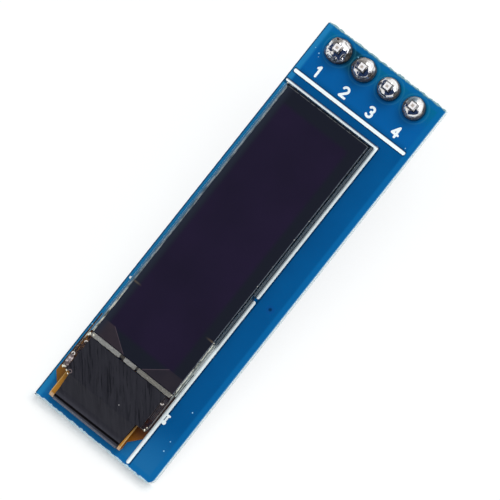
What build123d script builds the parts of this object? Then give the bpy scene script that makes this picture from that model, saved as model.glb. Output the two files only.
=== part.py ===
from build123d import *
import math
import os

# Small display module: a printed board that carries a narrow glass display on its face
# and a row of header pins soldered through one end.
# Millimetres. +X runs along the board from the header end, +Y across it, +Z out of the display's face.
# The origin is the middle of the pin row, on the underside of the header's plastic body.

# Printed board
board_length = 37.5
board_width = 11.9
board_thickness = 1.0
pin_row_from_end = 1.4
milled_corner_radius = 0.6
snapped_corner_radius = 0.15

# Pin header
pin_count = 4
pin_pitch = 2.54
pin_side = 0.64
pin_length_below = 6.0
pin_stick_out = 1.6
pin_taper_length = 0.8
pin_taper_angle = 12
pin_top_taper_length = 0.28
hole_clearance = 0.05
header_width = 2.5
header_height = 2.5
header_notch = 0.5
header_edge_chamfer = 0.12

# Hand-soldered joints, first pin to last: how far each spreads past its hole, and how high it stands
joint_collars = [0.54, 0.48, 0.42, 0.43]
joint_heights = [1.2, 1.3, 1.36, 1.34]
first_joint_lump_radius = 0.37
first_joint_lump_turn = -52
first_joint_lump_from_rim = 0.2

# Display glass: a thin front sheet with a bare ledge, and a shorter sheet sealed behind it
panel_from_end = 5.92
panel_from_side = 0.61
panel_length = 28.54
panel_width = 8.56
ledge_length = 3.61
glass_thickness = 0.5
seal_gap = 0.03
seal_width = 0.7
active_length = 22.4
active_width = 5.6
active_from_edge = 1.5
film_thickness = 0.02
pocket_depth = 0.2
pocket_inset = 1.1
desiccant_thickness = 0.15
desiccant_clearance = 0.3
polarizer_thickness = 0.2
polarizer_side_inset = 0.22
polarizer_end_inset = 0.1
polarizer_ledge_gap = 0.05

# Bead of sealant along the short sheet's end, in three lengths with two breaks
bead_width = 0.36
bead_height = 0.26
bead_inset = 0.25
bead_break_places = [3.35, 4.85]
bead_break_widths = [0.28, 0.14]

# Driver chip under the ledge
chip_from_seal = 0.75
chip_width = 1.0
chip_length = 6.6
chip_thickness = 0.3

# Flexible circuit: bonded under the ledge, folded back under the glass, soldered to the board
flex_thickness = 0.12
flex_bond_length = 0.95
flex_reach = 2.44
flex_neck_inset = 0.67
flex_side_shift = -0.19
flex_tail_spread = 0.85
flex_shoulder_from_fold = 0.5
flex_shoulder_length = 0.95
flex_tail_length = 7.2
flex_joint_count = 14
flex_joint_pitch = 0.6
flex_joint_width = 0.32
flex_joint_length = 0.5
flex_joint_height = 0.16
flex_joint_slope_drop_share = 0.8
flex_joint_slope_run_share = 0.6

# Black tape over the ledge and the fold
ledge_tape_thickness = 0.07
ledge_tape_from_seal = 0.42
ledge_tape_inset = 0.49
fold_tape_inset = 0.25
fold_tape_shift = 0.17
fold_tape_skew = 0.28
tape_overhang = 0.1
tape_landing_length = 0.55
tape_bend_radius = 0.4

# Double-sided tape between the glass and the board
mounting_tape_thickness = 0.3
long_tape_inset = 0.8
short_tape_inset = 0.02
tape_clearance = 0.2

# White print on the board
print_thickness = 0.02
outline_width = 0.22
long_line_width = 0.3
long_line_clearance = 0.005
outline_side_gap = 0.17
outline_end_gap = 0.25
outline_break_from_end = 20.77
outline_break_width = 0.35
middle_line_from_end = 25.68
separator_from_end = 4.7
separator_width = 0.32
separator_side_gap = 0.2
separator_far_gap = 0.48
mark_from_end = 32.35
mark_length = 0.64
mark_rise = 0.3
mark_stub_rise = 0.4
mark_stroke = 0.17
mark_spot_radius = 0.18

# Chip parts on the back
chip_part_length = 1.6
chip_part_width = 0.8
capacitor_height = 0.8
resistor_height = 0.45
terminal_length = 0.3
terminal_step = 0.03
terminal_round = 0.08
overcoat_inset = 0.06
fillet_reach = 0.3
fillet_share = 0.6
regulator_length = 2.9
regulator_width = 1.3
regulator_height = 1.0
regulator_stand_off = 0.08
regulator_draft = 7
lead_width = 0.4
lead_thickness = 0.14
lead_reach = 0.55
lead_foot = 0.3
lead_pitch = 1.9

# Middles of the back's parts: distance from the header end, distance from the side, turn in degrees
regulator_place = (6.6, 3.4, 0)
capacitor_places = [
    (6.4, 7.2, 0),
    (10.2, 3.2, 90),
    (20.6, 3.0, 90),
    (22.6, 3.0, 90),
    (24.6, 3.0, 90),
    (26.6, 3.0, 90),
    (26.6, 7.4, 90),
]
resistor_places = [
    (6.4, 9.6, 0),
    (10.0, 9.0, 90),
    (12.0, 9.0, 90),
    (24.6, 7.4, 90),
]

# Heights of the stack
board_back = header_height
board_top = board_back + board_thickness
pin_top = board_top + pin_stick_out
cap_bottom = board_top + mounting_tape_thickness
cap_top = cap_bottom + glass_thickness
front_bottom = cap_top + seal_gap
front_top = front_bottom + glass_thickness

# Places along the board
board_start = -pin_row_from_end
panel_start = board_start + panel_from_end
panel_end = panel_start + panel_length
cap_end = panel_end - ledge_length
fold_outer_radius = (front_bottom - board_top) / 2
fold_inner_radius = fold_outer_radius - flex_thickness
fold_centre = panel_end + flex_reach - fold_outer_radius
fold_middle_height = board_top + fold_outer_radius
flex_tail_end = fold_centre - flex_tail_length

# Places across the board
board_side = -board_width / 2
panel_side = board_side + panel_from_side
panel_middle = panel_side + panel_width / 2
panel_far_side = panel_side + panel_width
flex_middle = panel_middle + flex_side_shift
flex_neck_width = panel_width - 2 * flex_neck_inset
flex_tail_width = flex_neck_width + 2 * flex_tail_spread
hole_radius = pin_side * math.sqrt(2) / 2 + hole_clearance


def slab(x_low, x_high, y_low, y_high, z_low, z_high):
    """A plain block between the given limits."""
    middle = ((x_low + x_high) / 2, (y_low + y_high) / 2, (z_low + z_high) / 2)
    return Pos(*middle) * Box(x_high - x_low, y_high - y_low, z_high - z_low)


def pin_y(number):
    """Where a pin stands across the board, counted from the first."""
    return (number - (pin_count - 1) / 2) * pin_pitch


def board():
    """The printed board: three snapped corners, one milled round, and a hole for each pin."""
    outline = Pos(board_start + board_length / 2, 0) * Rectangle(board_length, board_width)
    corners = outline.vertices().sort_by(Axis((0, 0, 0), (1, 1, 0)))
    outline = fillet(corners[-1], milled_corner_radius)
    square_corners = outline.vertices().filter_by(lambda corner: not near_milled_corner(corner))
    outline = fillet(square_corners, snapped_corner_radius)
    for number in range(pin_count):
        outline -= Pos(0, pin_y(number)) * Circle(hole_radius)
    return extrude(Pos(0, 0, board_back) * outline, board_thickness)


def near_milled_corner(corner):
    """True for the points that end the milled corner's round."""
    reach = 2 * milled_corner_radius
    return (
        corner.X > board_start + board_length - reach
        and corner.Y > board_width / 2 - reach
    )


def header_body():
    """The header's plastic: one bevelled cell for each pin, with a tight square hole through it."""
    plan = Sketch()
    for number in range(pin_count):
        cell = Rectangle(header_width, pin_pitch)
        plan += Pos(0, pin_y(number)) * chamfer(cell.vertices(), header_notch)
    body = extrude(plan, header_height)
    body = chamfer(body.faces().sort_by(Axis.Z)[0].edges(), header_edge_chamfer)
    for number in range(pin_count):
        body -= pin_shaft(number, pin_top)
    return body


def pin_shaft(number, top):
    """The straight part of one pin up to the given height, as wide as its hole in the plastic."""
    half = pin_side / 2
    middle = pin_y(number)
    return slab(-half, half, middle - half, middle + half, pin_taper_length - pin_length_below, top)


def header_pin(number):
    """One square pin: tapered a little at its soldered top end and more at its mating end."""
    upper_end = pin_top - pin_top_taper_length
    lower_end = pin_taper_length - pin_length_below
    section = Pos(0, pin_y(number)) * Rectangle(pin_side, pin_side)
    upper_taper = extrude(Pos(0, 0, upper_end) * section, pin_top_taper_length, taper=pin_taper_angle)
    lower_taper = extrude(Pos(0, 0, lower_end) * section, -pin_taper_length, taper=pin_taper_angle)
    return pin_shaft(number, upper_end) + upper_taper + lower_taper


def solder_joint(number):
    """One solder joint: a ball about the pin, cut flat by the board, and the solder that fills the hole."""
    rim = hole_radius + joint_collars[number]
    joint = solder_ball(rim, joint_heights[number] - rim)
    joint += Pos(0, 0, board_back + board_thickness / 2) * Cylinder(hole_radius, board_thickness)
    if number == 0:
        joint += first_joint_lump(rim)
    return Pos(0, pin_y(number)) * joint - pin_shaft(number, pin_top)


def solder_ball(radius, rise):
    """A ball of solder whose middle is the given rise over the board's face, cut flat by the board."""
    ball = Pos(0, 0, board_top + rise) * Sphere(radius)
    return ball - slab(-radius, radius, -radius, radius, board_top - radius, board_top)


def first_joint_lump(rim):
    """The blob that stands on the first joint's rim."""
    reach = rim - first_joint_lump_from_rim
    return Rot(0, 0, first_joint_lump_turn) * Pos(reach, 0, 0) * solder_ball(first_joint_lump_radius, 0)


def substrate_glass():
    """The front sheet of glass, with the ledge that the rear sheet leaves bare."""
    return slab(panel_start, panel_end, panel_side, panel_far_side, front_bottom, front_top)


def cap_glass():
    """The rear sheet of glass, with the shallow pocket that holds the drying sheet."""
    sheet = slab(panel_start, cap_end, panel_side, panel_far_side, cap_bottom, cap_top)
    return sheet - slab(*pocket_limits(0), cap_top - pocket_depth, cap_top)


def pocket_limits(clearance):
    """The pocket's ends and sides, drawn in by a clearance."""
    inset = pocket_inset + clearance
    return panel_start + inset, cap_end - inset, panel_side + inset, panel_far_side - inset


def desiccant():
    """The drying sheet on the floor of the pocket."""
    floor = cap_top - pocket_depth
    return slab(*pocket_limits(desiccant_clearance), floor, floor + desiccant_thickness)


def perimeter_seal():
    """The frame of sealant between the two sheets of glass."""
    outside = slab(panel_start, cap_end, panel_side, panel_far_side, cap_top, front_bottom)
    inside = slab(
        panel_start + seal_width,
        cap_end - seal_width,
        panel_side + seal_width,
        panel_far_side - seal_width,
        cap_top,
        front_bottom,
    )
    return outside - inside


def emitting_film():
    """The light-giving layers, on the inner face of the front sheet."""
    start = panel_start + active_from_edge
    side = panel_middle - active_width / 2
    return slab(
        start,
        start + active_length,
        side,
        side + active_width,
        front_bottom - film_thickness,
        front_bottom,
    )


def polarizer():
    """The dark polarizing film on the front sheet, short of the ledge."""
    return slab(
        panel_start + polarizer_end_inset,
        cap_end - polarizer_ledge_gap,
        panel_side + polarizer_side_inset,
        panel_far_side - polarizer_side_inset,
        front_top,
        front_top + polarizer_thickness,
    )


def edge_bead():
    """The sealant bead in the corner under the ledge, broken in two places."""
    corner = (cap_end, front_bottom)
    profile = make_face(
        [
            Line(corner, (cap_end + bead_width, front_bottom)),
            EllipticalCenterArc(corner, bead_width, bead_height, start_angle=270, arc_size=90),
            Line((cap_end, front_bottom - bead_height), corner),
        ]
    )
    length = panel_width - 2 * bead_inset
    bead = Pos(0, panel_middle) * extrude(Plane.XZ * profile, length / 2, both=True)
    for place, width in zip(bead_break_places, bead_break_widths):
        middle = panel_side + place
        bead -= slab(
            cap_end,
            cap_end + bead_width,
            middle - width / 2,
            middle + width / 2,
            front_bottom - bead_height,
            front_bottom,
        )
    return bead


def driver_chip():
    """The bare chip that drives the display, bonded under the ledge."""
    start = cap_end + chip_from_seal
    return slab(
        start,
        start + chip_width,
        panel_middle - chip_length / 2,
        panel_middle + chip_length / 2,
        front_bottom - chip_thickness,
        front_bottom,
    )


def flex_ribbon():
    """The flexible circuit: a neck under the ledge's end, a fold, and a shouldered tail on the board."""
    neck_half = flex_neck_width / 2
    tail_half = flex_tail_width / 2
    neck = slab(
        panel_end - flex_bond_length,
        fold_centre,
        -neck_half,
        neck_half,
        front_bottom - flex_thickness,
        front_bottom,
    )
    fold = Plane.XZ * (Circle(fold_outer_radius) - Circle(fold_inner_radius))
    fold = extrude(Pos(fold_centre, 0, fold_middle_height) * fold, neck_half, both=True)
    fold &= slab(
        fold_centre,
        fold_centre + fold_outer_radius,
        -neck_half,
        neck_half,
        board_top,
        front_bottom,
    )
    shoulder_start = fold_centre - flex_shoulder_from_fold
    shoulder_end = shoulder_start - flex_shoulder_length
    tail_plan = Polyline(
        (fold_centre, -neck_half),
        (shoulder_start, -neck_half),
        (shoulder_end, -tail_half),
        (flex_tail_end, -tail_half),
        (flex_tail_end, tail_half),
        (shoulder_end, tail_half),
        (shoulder_start, neck_half),
        (fold_centre, neck_half),
        close=True,
    )
    tail = extrude(Pos(0, 0, board_top) * make_face(tail_plan), flex_thickness)
    return Pos(0, flex_middle) * (neck + fold + tail)


def flex_joints():
    """The row of small solder joints between the end of the flexible circuit and the board."""
    start = flex_tail_end - flex_joint_length
    joints = Part()
    for number in range(flex_joint_count):
        middle = flex_middle + (number - (flex_joint_count - 1) / 2) * flex_joint_pitch
        bead = slab(
            start,
            flex_tail_end,
            middle - flex_joint_width / 2,
            middle + flex_joint_width / 2,
            board_top,
            board_top + flex_joint_height,
        )
        outer_edge = bead.edges().filter_by(Axis.Y).group_by(Axis.Z)[-1].sort_by(Axis.X)[0]
        slope_drop = flex_joint_height * flex_joint_slope_drop_share
        slope_run = flex_joint_length * flex_joint_slope_run_share
        joints += chamfer(outer_edge, slope_drop, slope_run)
    return joints


def ledge_tape():
    """The black tape: flat on the ledge, down a slope to the flexible circuit, and round its fold."""
    tape_start = cap_end + ledge_tape_from_seal
    landing = fold_centre - tape_landing_length
    run = FilletPolyline(
        (tape_start, front_top),
        (panel_end + tape_overhang, front_top),
        (landing, front_bottom),
        (fold_centre, front_bottom),
        radius=tape_bend_radius,
    )
    bend = CenterArc((fold_centre, fold_middle_height), fold_outer_radius, 90, -90)
    lower_face = Wire([*run.edges(), *bend.edges()])
    section_edges = offset(lower_face, ledge_tape_thickness, side=Side.LEFT).edges()
    strip = Plane.XZ * make_face(section_edges)
    wide_half = panel_width / 2 - ledge_tape_inset
    narrow_half = flex_neck_width / 2 - fold_tape_inset
    tape_end = fold_centre + fold_outer_radius + ledge_tape_thickness
    height_limits = (board_top, front_top + 2 * ledge_tape_thickness)
    wide = extrude(strip, wide_half, both=True)
    wide &= slab(tape_start, panel_end, -wide_half, wide_half, *height_limits)
    narrow_plan = Polyline(
        (tape_start, -narrow_half),
        (tape_end, -narrow_half),
        (tape_end, narrow_half - fold_tape_skew),
        (panel_end, narrow_half),
        (tape_start, narrow_half),
        close=True,
    )
    narrow = extrude(strip, narrow_half, both=True)
    narrow &= extrude(Pos(0, 0, board_top) * make_face(narrow_plan), height_limits[1] - board_top)
    return Pos(0, panel_middle) * wide + Pos(0, flex_middle + fold_tape_shift) * narrow


def long_mounting_tape():
    """The tape that holds the glass, from near its header end to the print's middle line."""
    return slab(
        panel_start + long_tape_inset,
        board_start + middle_line_from_end - outline_width / 2 - tape_clearance,
        panel_side + long_tape_inset,
        panel_far_side - long_tape_inset,
        board_top,
        cap_bottom,
    )


def short_mounting_tape():
    """The pale tape between the print's middle line and the flexible circuit's joints."""
    return slab(
        board_start + middle_line_from_end + outline_width / 2 + tape_clearance,
        flex_tail_end - flex_joint_length - tape_clearance,
        panel_side + short_tape_inset,
        panel_far_side - short_tape_inset,
        board_top,
        cap_bottom,
    )


def print_bar(start, end, width):
    """One printed line with round ends, as a thin raised bar between two points."""
    middle = ((start[0] + end[0]) / 2, (start[1] + end[1]) / 2)
    turn = math.degrees(math.atan2(end[1] - start[1], end[0] - start[0]))
    outline = SlotCenterToCenter(math.dist(start, end), width)
    return extrude(Pos(*middle, board_top) * Rot(0, 0, turn) * outline, print_thickness)


def board_print():
    """The white lines: a bar beside the pins, the display's outline, and a small mark by its far side."""
    half = outline_width / 2
    cross_x = panel_start - outline_end_gap
    long_y = panel_far_side + long_line_clearance + long_line_width / 2
    near_y = board_side + outline_side_gap + half
    middle_x = board_start + middle_line_from_end
    break_x = board_start + outline_break_from_end
    end_x = board_start + board_length - outline_end_gap - half
    separator_x = board_start + separator_from_end
    separator_half = separator_width / 2
    lines = print_bar((cross_x, near_y), (cross_x, long_y), outline_width)
    lines += print_bar((cross_x, long_y), (break_x - half, long_y), long_line_width)
    lines += print_bar((break_x + outline_break_width + half, long_y), (end_x, long_y), long_line_width)
    lines += print_bar((middle_x, near_y), (middle_x, long_y), outline_width)
    lines += print_bar(
        (separator_x, board_side + separator_side_gap + separator_half),
        (separator_x, -board_side - separator_far_gap - separator_half),
        separator_width,
    )
    return lines + print_mark(long_y)


def print_mark(line_y):
    """The small mark beside the long line: a stub that rises from it, a short bar and a round spot."""
    start_x = board_start + mark_from_end
    end_x = start_x + mark_length
    bar_y = line_y + mark_rise
    mark = print_bar((start_x, line_y), (start_x, line_y + mark_stub_rise), mark_stroke)
    mark += print_bar((start_x, bar_y), (end_x, bar_y), mark_stroke)
    return mark + Pos(end_x, bar_y, board_top) * extrude(Circle(mark_spot_radius), print_thickness)


def on_back(place):
    """The seat of a part on the board's back, upside down, from its distances and turn."""
    from_end, from_side, turn = place
    return Pos(board_start + from_end, board_side + from_side, board_back) * Rot(180, 0, turn)


def terminals(height):
    """The two soldered ends of a chip part."""
    ends = Part()
    for side in (-1, 1):
        middle = side * (chip_part_length - terminal_length) / 2
        end = Pos(middle, 0, height / 2) * Box(terminal_length, chip_part_width, height)
        outer = end.faces().sort_by(Axis.X)[-1 if side > 0 else 0]
        ends += fillet(outer.edges(), terminal_round)
    return ends


def capacitor(place):
    """A ceramic chip capacitor: a block between two slightly thicker metal ends."""
    width = chip_part_width - 2 * terminal_step
    height = capacitor_height - 2 * terminal_step
    block = Pos(0, 0, capacitor_height / 2) * Box(chip_part_length - terminal_length, width, height)
    return on_back(place) * (terminals(capacitor_height) + block)


def resistor(place):
    """A chip resistor: a flat slab with a coated top, between two metal ends."""
    length = chip_part_length - terminal_length
    slab_height = resistor_height - 2 * terminal_step
    width = chip_part_width - 2 * terminal_step
    body = Pos(0, 0, resistor_height / 2) * Box(length, width, slab_height)
    coat_length = chip_part_length - 2 * terminal_length
    coat = Pos(0, 0, resistor_height / 2) * Box(
        coat_length, width - 2 * overcoat_inset, resistor_height
    )
    coat &= Pos(0, 0, resistor_height) * Box(coat_length, width, resistor_height)
    return on_back(place) * (terminals(resistor_height) + body + coat)


def end_fillets(place, height):
    """The hollow-faced solder at both ends of one chip part."""
    rise = height * fillet_share
    face = make_face(
        [
            Line((0, rise), (0, 0)),
            Line((0, 0), (fillet_reach, 0)),
            EllipticalCenterArc(
                (fillet_reach, rise), fillet_reach, rise, start_angle=180, arc_size=90
            ),
        ]
    )
    wedge = extrude(Plane.XZ * face, chip_part_width / 2, both=True)
    wedge = Pos(chip_part_length / 2, 0, 0) * wedge
    return on_back(place) * (wedge + Rot(0, 0, 180) * wedge)


def chip_part_solder():
    """All the solder at the ends of the chip parts."""
    solder = Part()
    for place in capacitor_places:
        solder += end_fillets(place, capacitor_height)
    for place in resistor_places:
        solder += end_fillets(place, resistor_height)
    return solder


def regulator_case():
    """The regulator's moulded case, with drafted sides that meet at the lead line."""
    lead_line = regulator_stand_off + regulator_height / 2
    middle = Rectangle(regulator_length, regulator_width)
    upper = extrude(Pos(0, 0, lead_line) * middle, regulator_height / 2, taper=regulator_draft)
    lower = extrude(Pos(0, 0, lead_line) * middle, -regulator_height / 2, taper=regulator_draft)
    return on_back(regulator_place) * (upper + lower)


def regulator_leads():
    """The regulator's three bent leads: two on one side, one on the other."""
    lead_line = regulator_stand_off + regulator_height / 2
    start = regulator_width / 2
    bend = start + (lead_reach - lead_foot) / 2
    path = Polyline(
        (start, lead_line),
        (bend, lead_line),
        (bend + lead_thickness, lead_thickness / 2),
        (start + lead_reach, lead_thickness / 2),
    )
    profile = Plane.YZ * trace(path, lead_thickness)
    lead = extrude(profile, lead_width / 2, both=True)
    lead &= Pos(0, start + lead_reach, 0) * Box(lead_width, 2 * lead_reach, 4 * regulator_height)
    leads = Pos(-lead_pitch / 2, 0, 0) * lead + Pos(lead_pitch / 2, 0, 0) * lead
    return on_back(regulator_place) * (leads + Rot(0, 0, 180) * lead)


def numbered(name, shapes):
    """Node names for repeated parts, counted from one."""
    return {f"{name}_{number}": shape for number, shape in enumerate(shapes, start=1)}


nodes = {
    "board": board(),
    "header_body": header_body(),
    **numbered("header_pin", [header_pin(number) for number in range(pin_count)]),
    **numbered("solder_joint", [solder_joint(number) for number in range(pin_count)]),
    "substrate_glass": substrate_glass(),
    "cap_glass": cap_glass(),
    "perimeter_seal": perimeter_seal(),
    "desiccant": desiccant(),
    "emitting_film": emitting_film(),
    "polarizer": polarizer(),
    "edge_bead": edge_bead(),
    "driver_chip": driver_chip(),
    "flex_ribbon": flex_ribbon(),
    "flex_joints": flex_joints(),
    "ledge_tape": ledge_tape(),
    "long_mounting_tape": long_mounting_tape(),
    "short_mounting_tape": short_mounting_tape(),
    "board_print": board_print(),
    **numbered("capacitor", [capacitor(place) for place in capacitor_places]),
    **numbered("resistor", [resistor(place) for place in resistor_places]),
    "chip_part_solder": chip_part_solder(),
    "regulator_case": regulator_case(),
    "regulator_leads": regulator_leads(),
}

os.makedirs("parts", exist_ok=True)
for name, shape in nodes.items():
    export_step(shape, f"parts/{name}.step")
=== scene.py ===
import math

import bpy
from mathutils import Matrix, Vector, noise


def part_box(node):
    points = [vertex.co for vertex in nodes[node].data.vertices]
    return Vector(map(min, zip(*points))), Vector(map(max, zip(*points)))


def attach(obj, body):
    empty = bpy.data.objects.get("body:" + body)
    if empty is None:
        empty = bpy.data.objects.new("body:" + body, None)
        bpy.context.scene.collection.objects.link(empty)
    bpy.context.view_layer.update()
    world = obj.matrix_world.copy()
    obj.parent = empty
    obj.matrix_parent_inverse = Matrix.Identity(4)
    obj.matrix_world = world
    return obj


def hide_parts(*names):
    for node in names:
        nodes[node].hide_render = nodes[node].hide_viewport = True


# Small display module: looks, small details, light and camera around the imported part.
# Lengths are written in millimetres in the part's frame and turned into metres by MM.
# Colours are screen colours from 0 to 255, which tone makes linear.

MM = 0.001
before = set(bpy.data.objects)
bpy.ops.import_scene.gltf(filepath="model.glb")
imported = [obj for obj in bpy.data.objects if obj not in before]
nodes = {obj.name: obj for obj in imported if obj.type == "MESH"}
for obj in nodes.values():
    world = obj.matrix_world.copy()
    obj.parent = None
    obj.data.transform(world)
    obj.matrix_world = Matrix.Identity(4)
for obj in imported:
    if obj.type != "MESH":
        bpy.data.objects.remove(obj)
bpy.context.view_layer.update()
scene = bpy.context.scene


def limits(node):
    """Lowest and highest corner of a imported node, in millimetres."""
    low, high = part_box(node)
    return low / MM, high / MM


board_low, board_high = limits("board")
panel_low, panel_high = limits("substrate_glass")
film_low, film_high = limits("polarizer")
bead_low, bead_high = limits("edge_bead")
flex_low, flex_high = limits("flex_ribbon")
tape_top = limits("ledge_tape")[1].z
board_top = board_high.z
pins = [limits(f"header_pin_{number}") for number in (1, 2, 3, 4)]
pin_places = [(low.y + high.y) / 2 for low, high in pins]
pin_foot, pin_tip = pins[0][0].z, pins[0][1].z
flex_tail_spread = 0.85
flex_neck_near, flex_neck_far = flex_low.y + flex_tail_spread, flex_high.y - flex_tail_spread

# The film as it was stuck on, a little aside of its place in the part
film_near = film_low.y + 0.14
film_far = film_high.y + 0.08
film_far_lean = 0.0025
film_head = film_low.x + 0.07

# White print: the bar by the pins, the display's outline and the long line's outer side
bar_x = 3.3
head_line_x = 4.27
middle_line_x = 24.28
long_line_side = panel_high.y + 0.28
outline_x = panel_low.x - 0.22

# The lit area's limits, where the ledge begins, and where the flexible circuit and the tape turn down
lit_x, lit_y = (6.0, 28.1), (-4.46, 2.07)
ledge_x = film_high.x
fold_x = flex_high.x - 0.3

# Joints by number: collar round the hole, height, depth of the waves, and the lumps. Each lump has its middle
# from the pin's foot, its size, and how far it swells or sinks the ball
pin_pitch = 2.54
pin_half = 0.3
hole_radius = 0.5025
collars = [0.54, 0.48, 0.42, 0.43]
joint_heights = [1.2, 1.3, 1.36, 1.34]
wave_depths = [0.1, 0.045, 0.025, 0.03]
lump_sets = [
    [((0.6, -0.56, 0.3), 0.34, 0.24), ((-0.6, -0.62, 0.3), 0.16, 0.14), ((0.2, 0.72, 0.8), 0.26, -0.16),
     ((-0.35, 0.6, 0.7), 0.24, 0.1), ((0.75, 0.35, 0.4), 0.2, 0.12), ((-0.2, -0.55, 0.95), 0.22, 0.07)],
    [((0.5, 0.3, 0.9), 0.22, 0.05), ((0.3, 0.62, 0.7), 0.16, -0.05), ((0.1, -0.6, 0.8), 0.2, 0.04)],
    [((0.55, 0.5, 0.6), 0.16, -0.04)],
    [((-0.4, 0.5, 0.9), 0.3, 0.03), ((0.3, 0.6, 0.8), 0.18, -0.04)],
]

# Patches on the joints, brown on the first three and a painted teal reflection on the fourth: middle from the
# pin's axis, and reach
joint_patches = [(-0.62, -0.52, 0.62), (-0.62, -0.48, 0.62), (-0.7, -0.5, 0.4), (-0.5, -0.46, 0.6)]

# White specks on the board: middle and radius. Beside them a hole closed with mask and a speck on the tape
specks = [(29.59, 4.99, 0.07), (32.45, 5.04, 0.06), (33.34, 5.09, 0.07), (29.03, -5.75, 0.09),
          (2.9, 5.2, 0.05), (1.1, -5.0, 0.07), (1.35, -4.85, 0.04), (-0.55, -2.3, 0.06), (0.9, -5.5, 0.04)]
closed_hole = (19.45, 4.74)
tape_speck = (32.68, 0.26)


# Shader helpers

def tone(red, green, blue):
    """A screen colour from 0 to 255 as a linear one."""
    def linear(value):
        value /= 255
        return value / 12.92 if value <= 0.04045 else ((value + 0.055) / 1.055) ** 2.4
    return (linear(red), linear(green), linear(blue), 1.0)


class Nodes:
    """A shader tree, with short calls for what its nodes work out.
    Where a call wants a mask, (value, low, high) stands for the step between them."""

    def __init__(self, tree):
        self.tree = tree

    def feed(self, target, value):
        """Links a socket or a step to an input, or sets the input's own value."""
        if isinstance(value, tuple) and isinstance(value[0], bpy.types.NodeSocket):
            value = self.step(*value)
        if isinstance(value, bpy.types.NodeSocket):
            self.tree.links.new(value, target)
        else:
            target.default_value = value

    def node(self, kind, inputs=(), **options):
        """A node with its options set and its inputs fed."""
        made = self.tree.nodes.new(kind)
        for option, value in options.items():
            setattr(made, option, value)
        for key, value in dict(inputs).items():
            self.feed(made.inputs[key], value)
        return made

    def mix(self, share, first, second):
        """A colour between two, each a socket, a linear colour or a screen colour of three numbers."""
        first, second = (tone(*c) if isinstance(c, tuple) and len(c) == 3 else c for c in (first, second))
        return self.node("ShaderNodeMix", {0: share, 6: first, 7: second}, data_type="RGBA").outputs[2]

    def blend(self, share, first, second):
        """A number between two."""
        return self.node("ShaderNodeMix", {0: share, 2: first, 3: second}, data_type="FLOAT").outputs[0]

    def math(self, operation, *values):
        return self.node("ShaderNodeMath", enumerate(values), operation=operation).outputs[0]

    def plus(self, first, second):
        return self.math("ADD", first, second)

    def minus(self, first, second):
        return self.math("SUBTRACT", first, second)

    def scaled(self, mask, share):
        return self.math("MULTIPLY", mask, share)

    def both(self, *masks):
        """The product of masks, 1 where all of them are."""
        result = masks[0]
        for mask in masks[1:]:
            result = self.math("MULTIPLY", result, mask)
        return result

    def most(self, *values):
        """The highest of some values, so 1 where any of some masks is."""
        result = values[0]
        for value in values[1:]:
            result = self.math("MAXIMUM", result, value)
        return result

    def step(self, value, low, high):
        """0 below low, 1 above high, smooth between; the other way round if low is above high."""
        start, end = (0.0, 1.0) if low < high else (1.0, 0.0)
        inputs = {"Value": value, "From Min": min(low, high), "From Max": max(low, high),
                  "To Min": start, "To Max": end}
        return self.node("ShaderNodeMapRange", inputs, interpolation_type="SMOOTHSTEP").outputs["Result"]

    def between(self, value, low, high, soft):
        """1 between low and high, with soft edges."""
        return self.both(self.step(value, low - soft / 2, low + soft / 2),
                         self.step(value, high + soft / 2, high - soft / 2))

    def near(self, value, middle, inner, outer):
        """1 within the inner distance of a value, 0 from the outer one on."""
        return self.step(self.math("ABSOLUTE", self.minus(value, middle)), outer, inner)


class Paint(Nodes):
    """One material on the principled shader."""

    def __init__(self, name, colour, roughness=0.5, metallic=0.0, **sockets):
        self.material = bpy.data.materials.new(name)
        self.material.use_nodes = True
        super().__init__(self.material.node_tree)
        self.shader = self.tree.nodes["Principled BSDF"]
        self.output = self.tree.nodes["Material Output"]
        self.coat = tone(*colour)
        self.set("Base Color", self.coat)
        self.set("Roughness", roughness)
        self.set("Metallic", metallic)
        for socket, value in sockets.items():
            self.set(socket.replace("_", " "), value)
        source = self.node("ShaderNodeTexCoord").outputs
        # the point on the surface, in millimetres in the part's frame, and how far the surface faces up
        scaled = self.node("ShaderNodeVectorMath", {0: source["Object"], 3: 1 / MM}, operation="SCALE")
        self.place = scaled.outputs[0]
        self.x, self.y, self.z = self.node("ShaderNodeSeparateXYZ", {0: self.place}).outputs
        self.upward = self.node("ShaderNodeSeparateXYZ", {0: source["Normal"]}).outputs[2]

    def set(self, socket, value):
        self.feed(self.shader.inputs[socket], value)

    def base(self, share, first, second):
        """Makes the base colour a mix of two."""
        self.coat = self.mix(share, first, second)
        self.set("Base Color", self.coat)

    def lay(self, mask, colour, share=1.0):
        """Lays a colour over the base colour where the mask is 1, as thick as the share says."""
        self.base(mask if share == 1.0 else self.scaled(mask, share), self.coat, colour)

    def stretched(self, along, turn=0.0):
        """The place scaled along each axis and turned about Z, for streaks."""
        made = self.node("ShaderNodeMapping", {"Vector": self.place, "Scale": along}, vector_type="TEXTURE")
        made.inputs["Rotation"].default_value = (0, 0, math.radians(turn))
        return made.outputs[0]

    def grain(self, scale, detail=3.0, place=None, roughness=0.5, distortion=0.0):
        """Slow noise from 0 to 1, in so many grains per millimetre."""
        inputs = {"Vector": place or self.place, "Scale": scale, "Detail": detail,
                  "Roughness": roughness, "Distortion": distortion}
        return self.node("ShaderNodeTexNoise", inputs).outputs["Fac"]

    def cells(self, scale):
        """Distance from the middle of scattered cells."""
        return self.node("ShaderNodeTexVoronoi", {"Vector": self.place, "Scale": scale}).outputs["Distance"]

    def distance(self, x, y):
        """Distance in the board's plane from a point."""
        along, across = self.minus(self.x, x), self.minus(self.y, y)
        squares = self.plus(self.math("MULTIPLY", along, along), self.math("MULTIPLY", across, across))
        return self.math("SQRT", squares)

    def bump(self, height, depth, strength=1.0):
        """Bump whose height goes from 0 to 1 over depth millimetres."""
        inputs = {"Height": height, "Distance": depth * MM, "Strength": strength}
        self.set("Normal", self.node("ShaderNodeBump", inputs).outputs[0])


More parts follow.
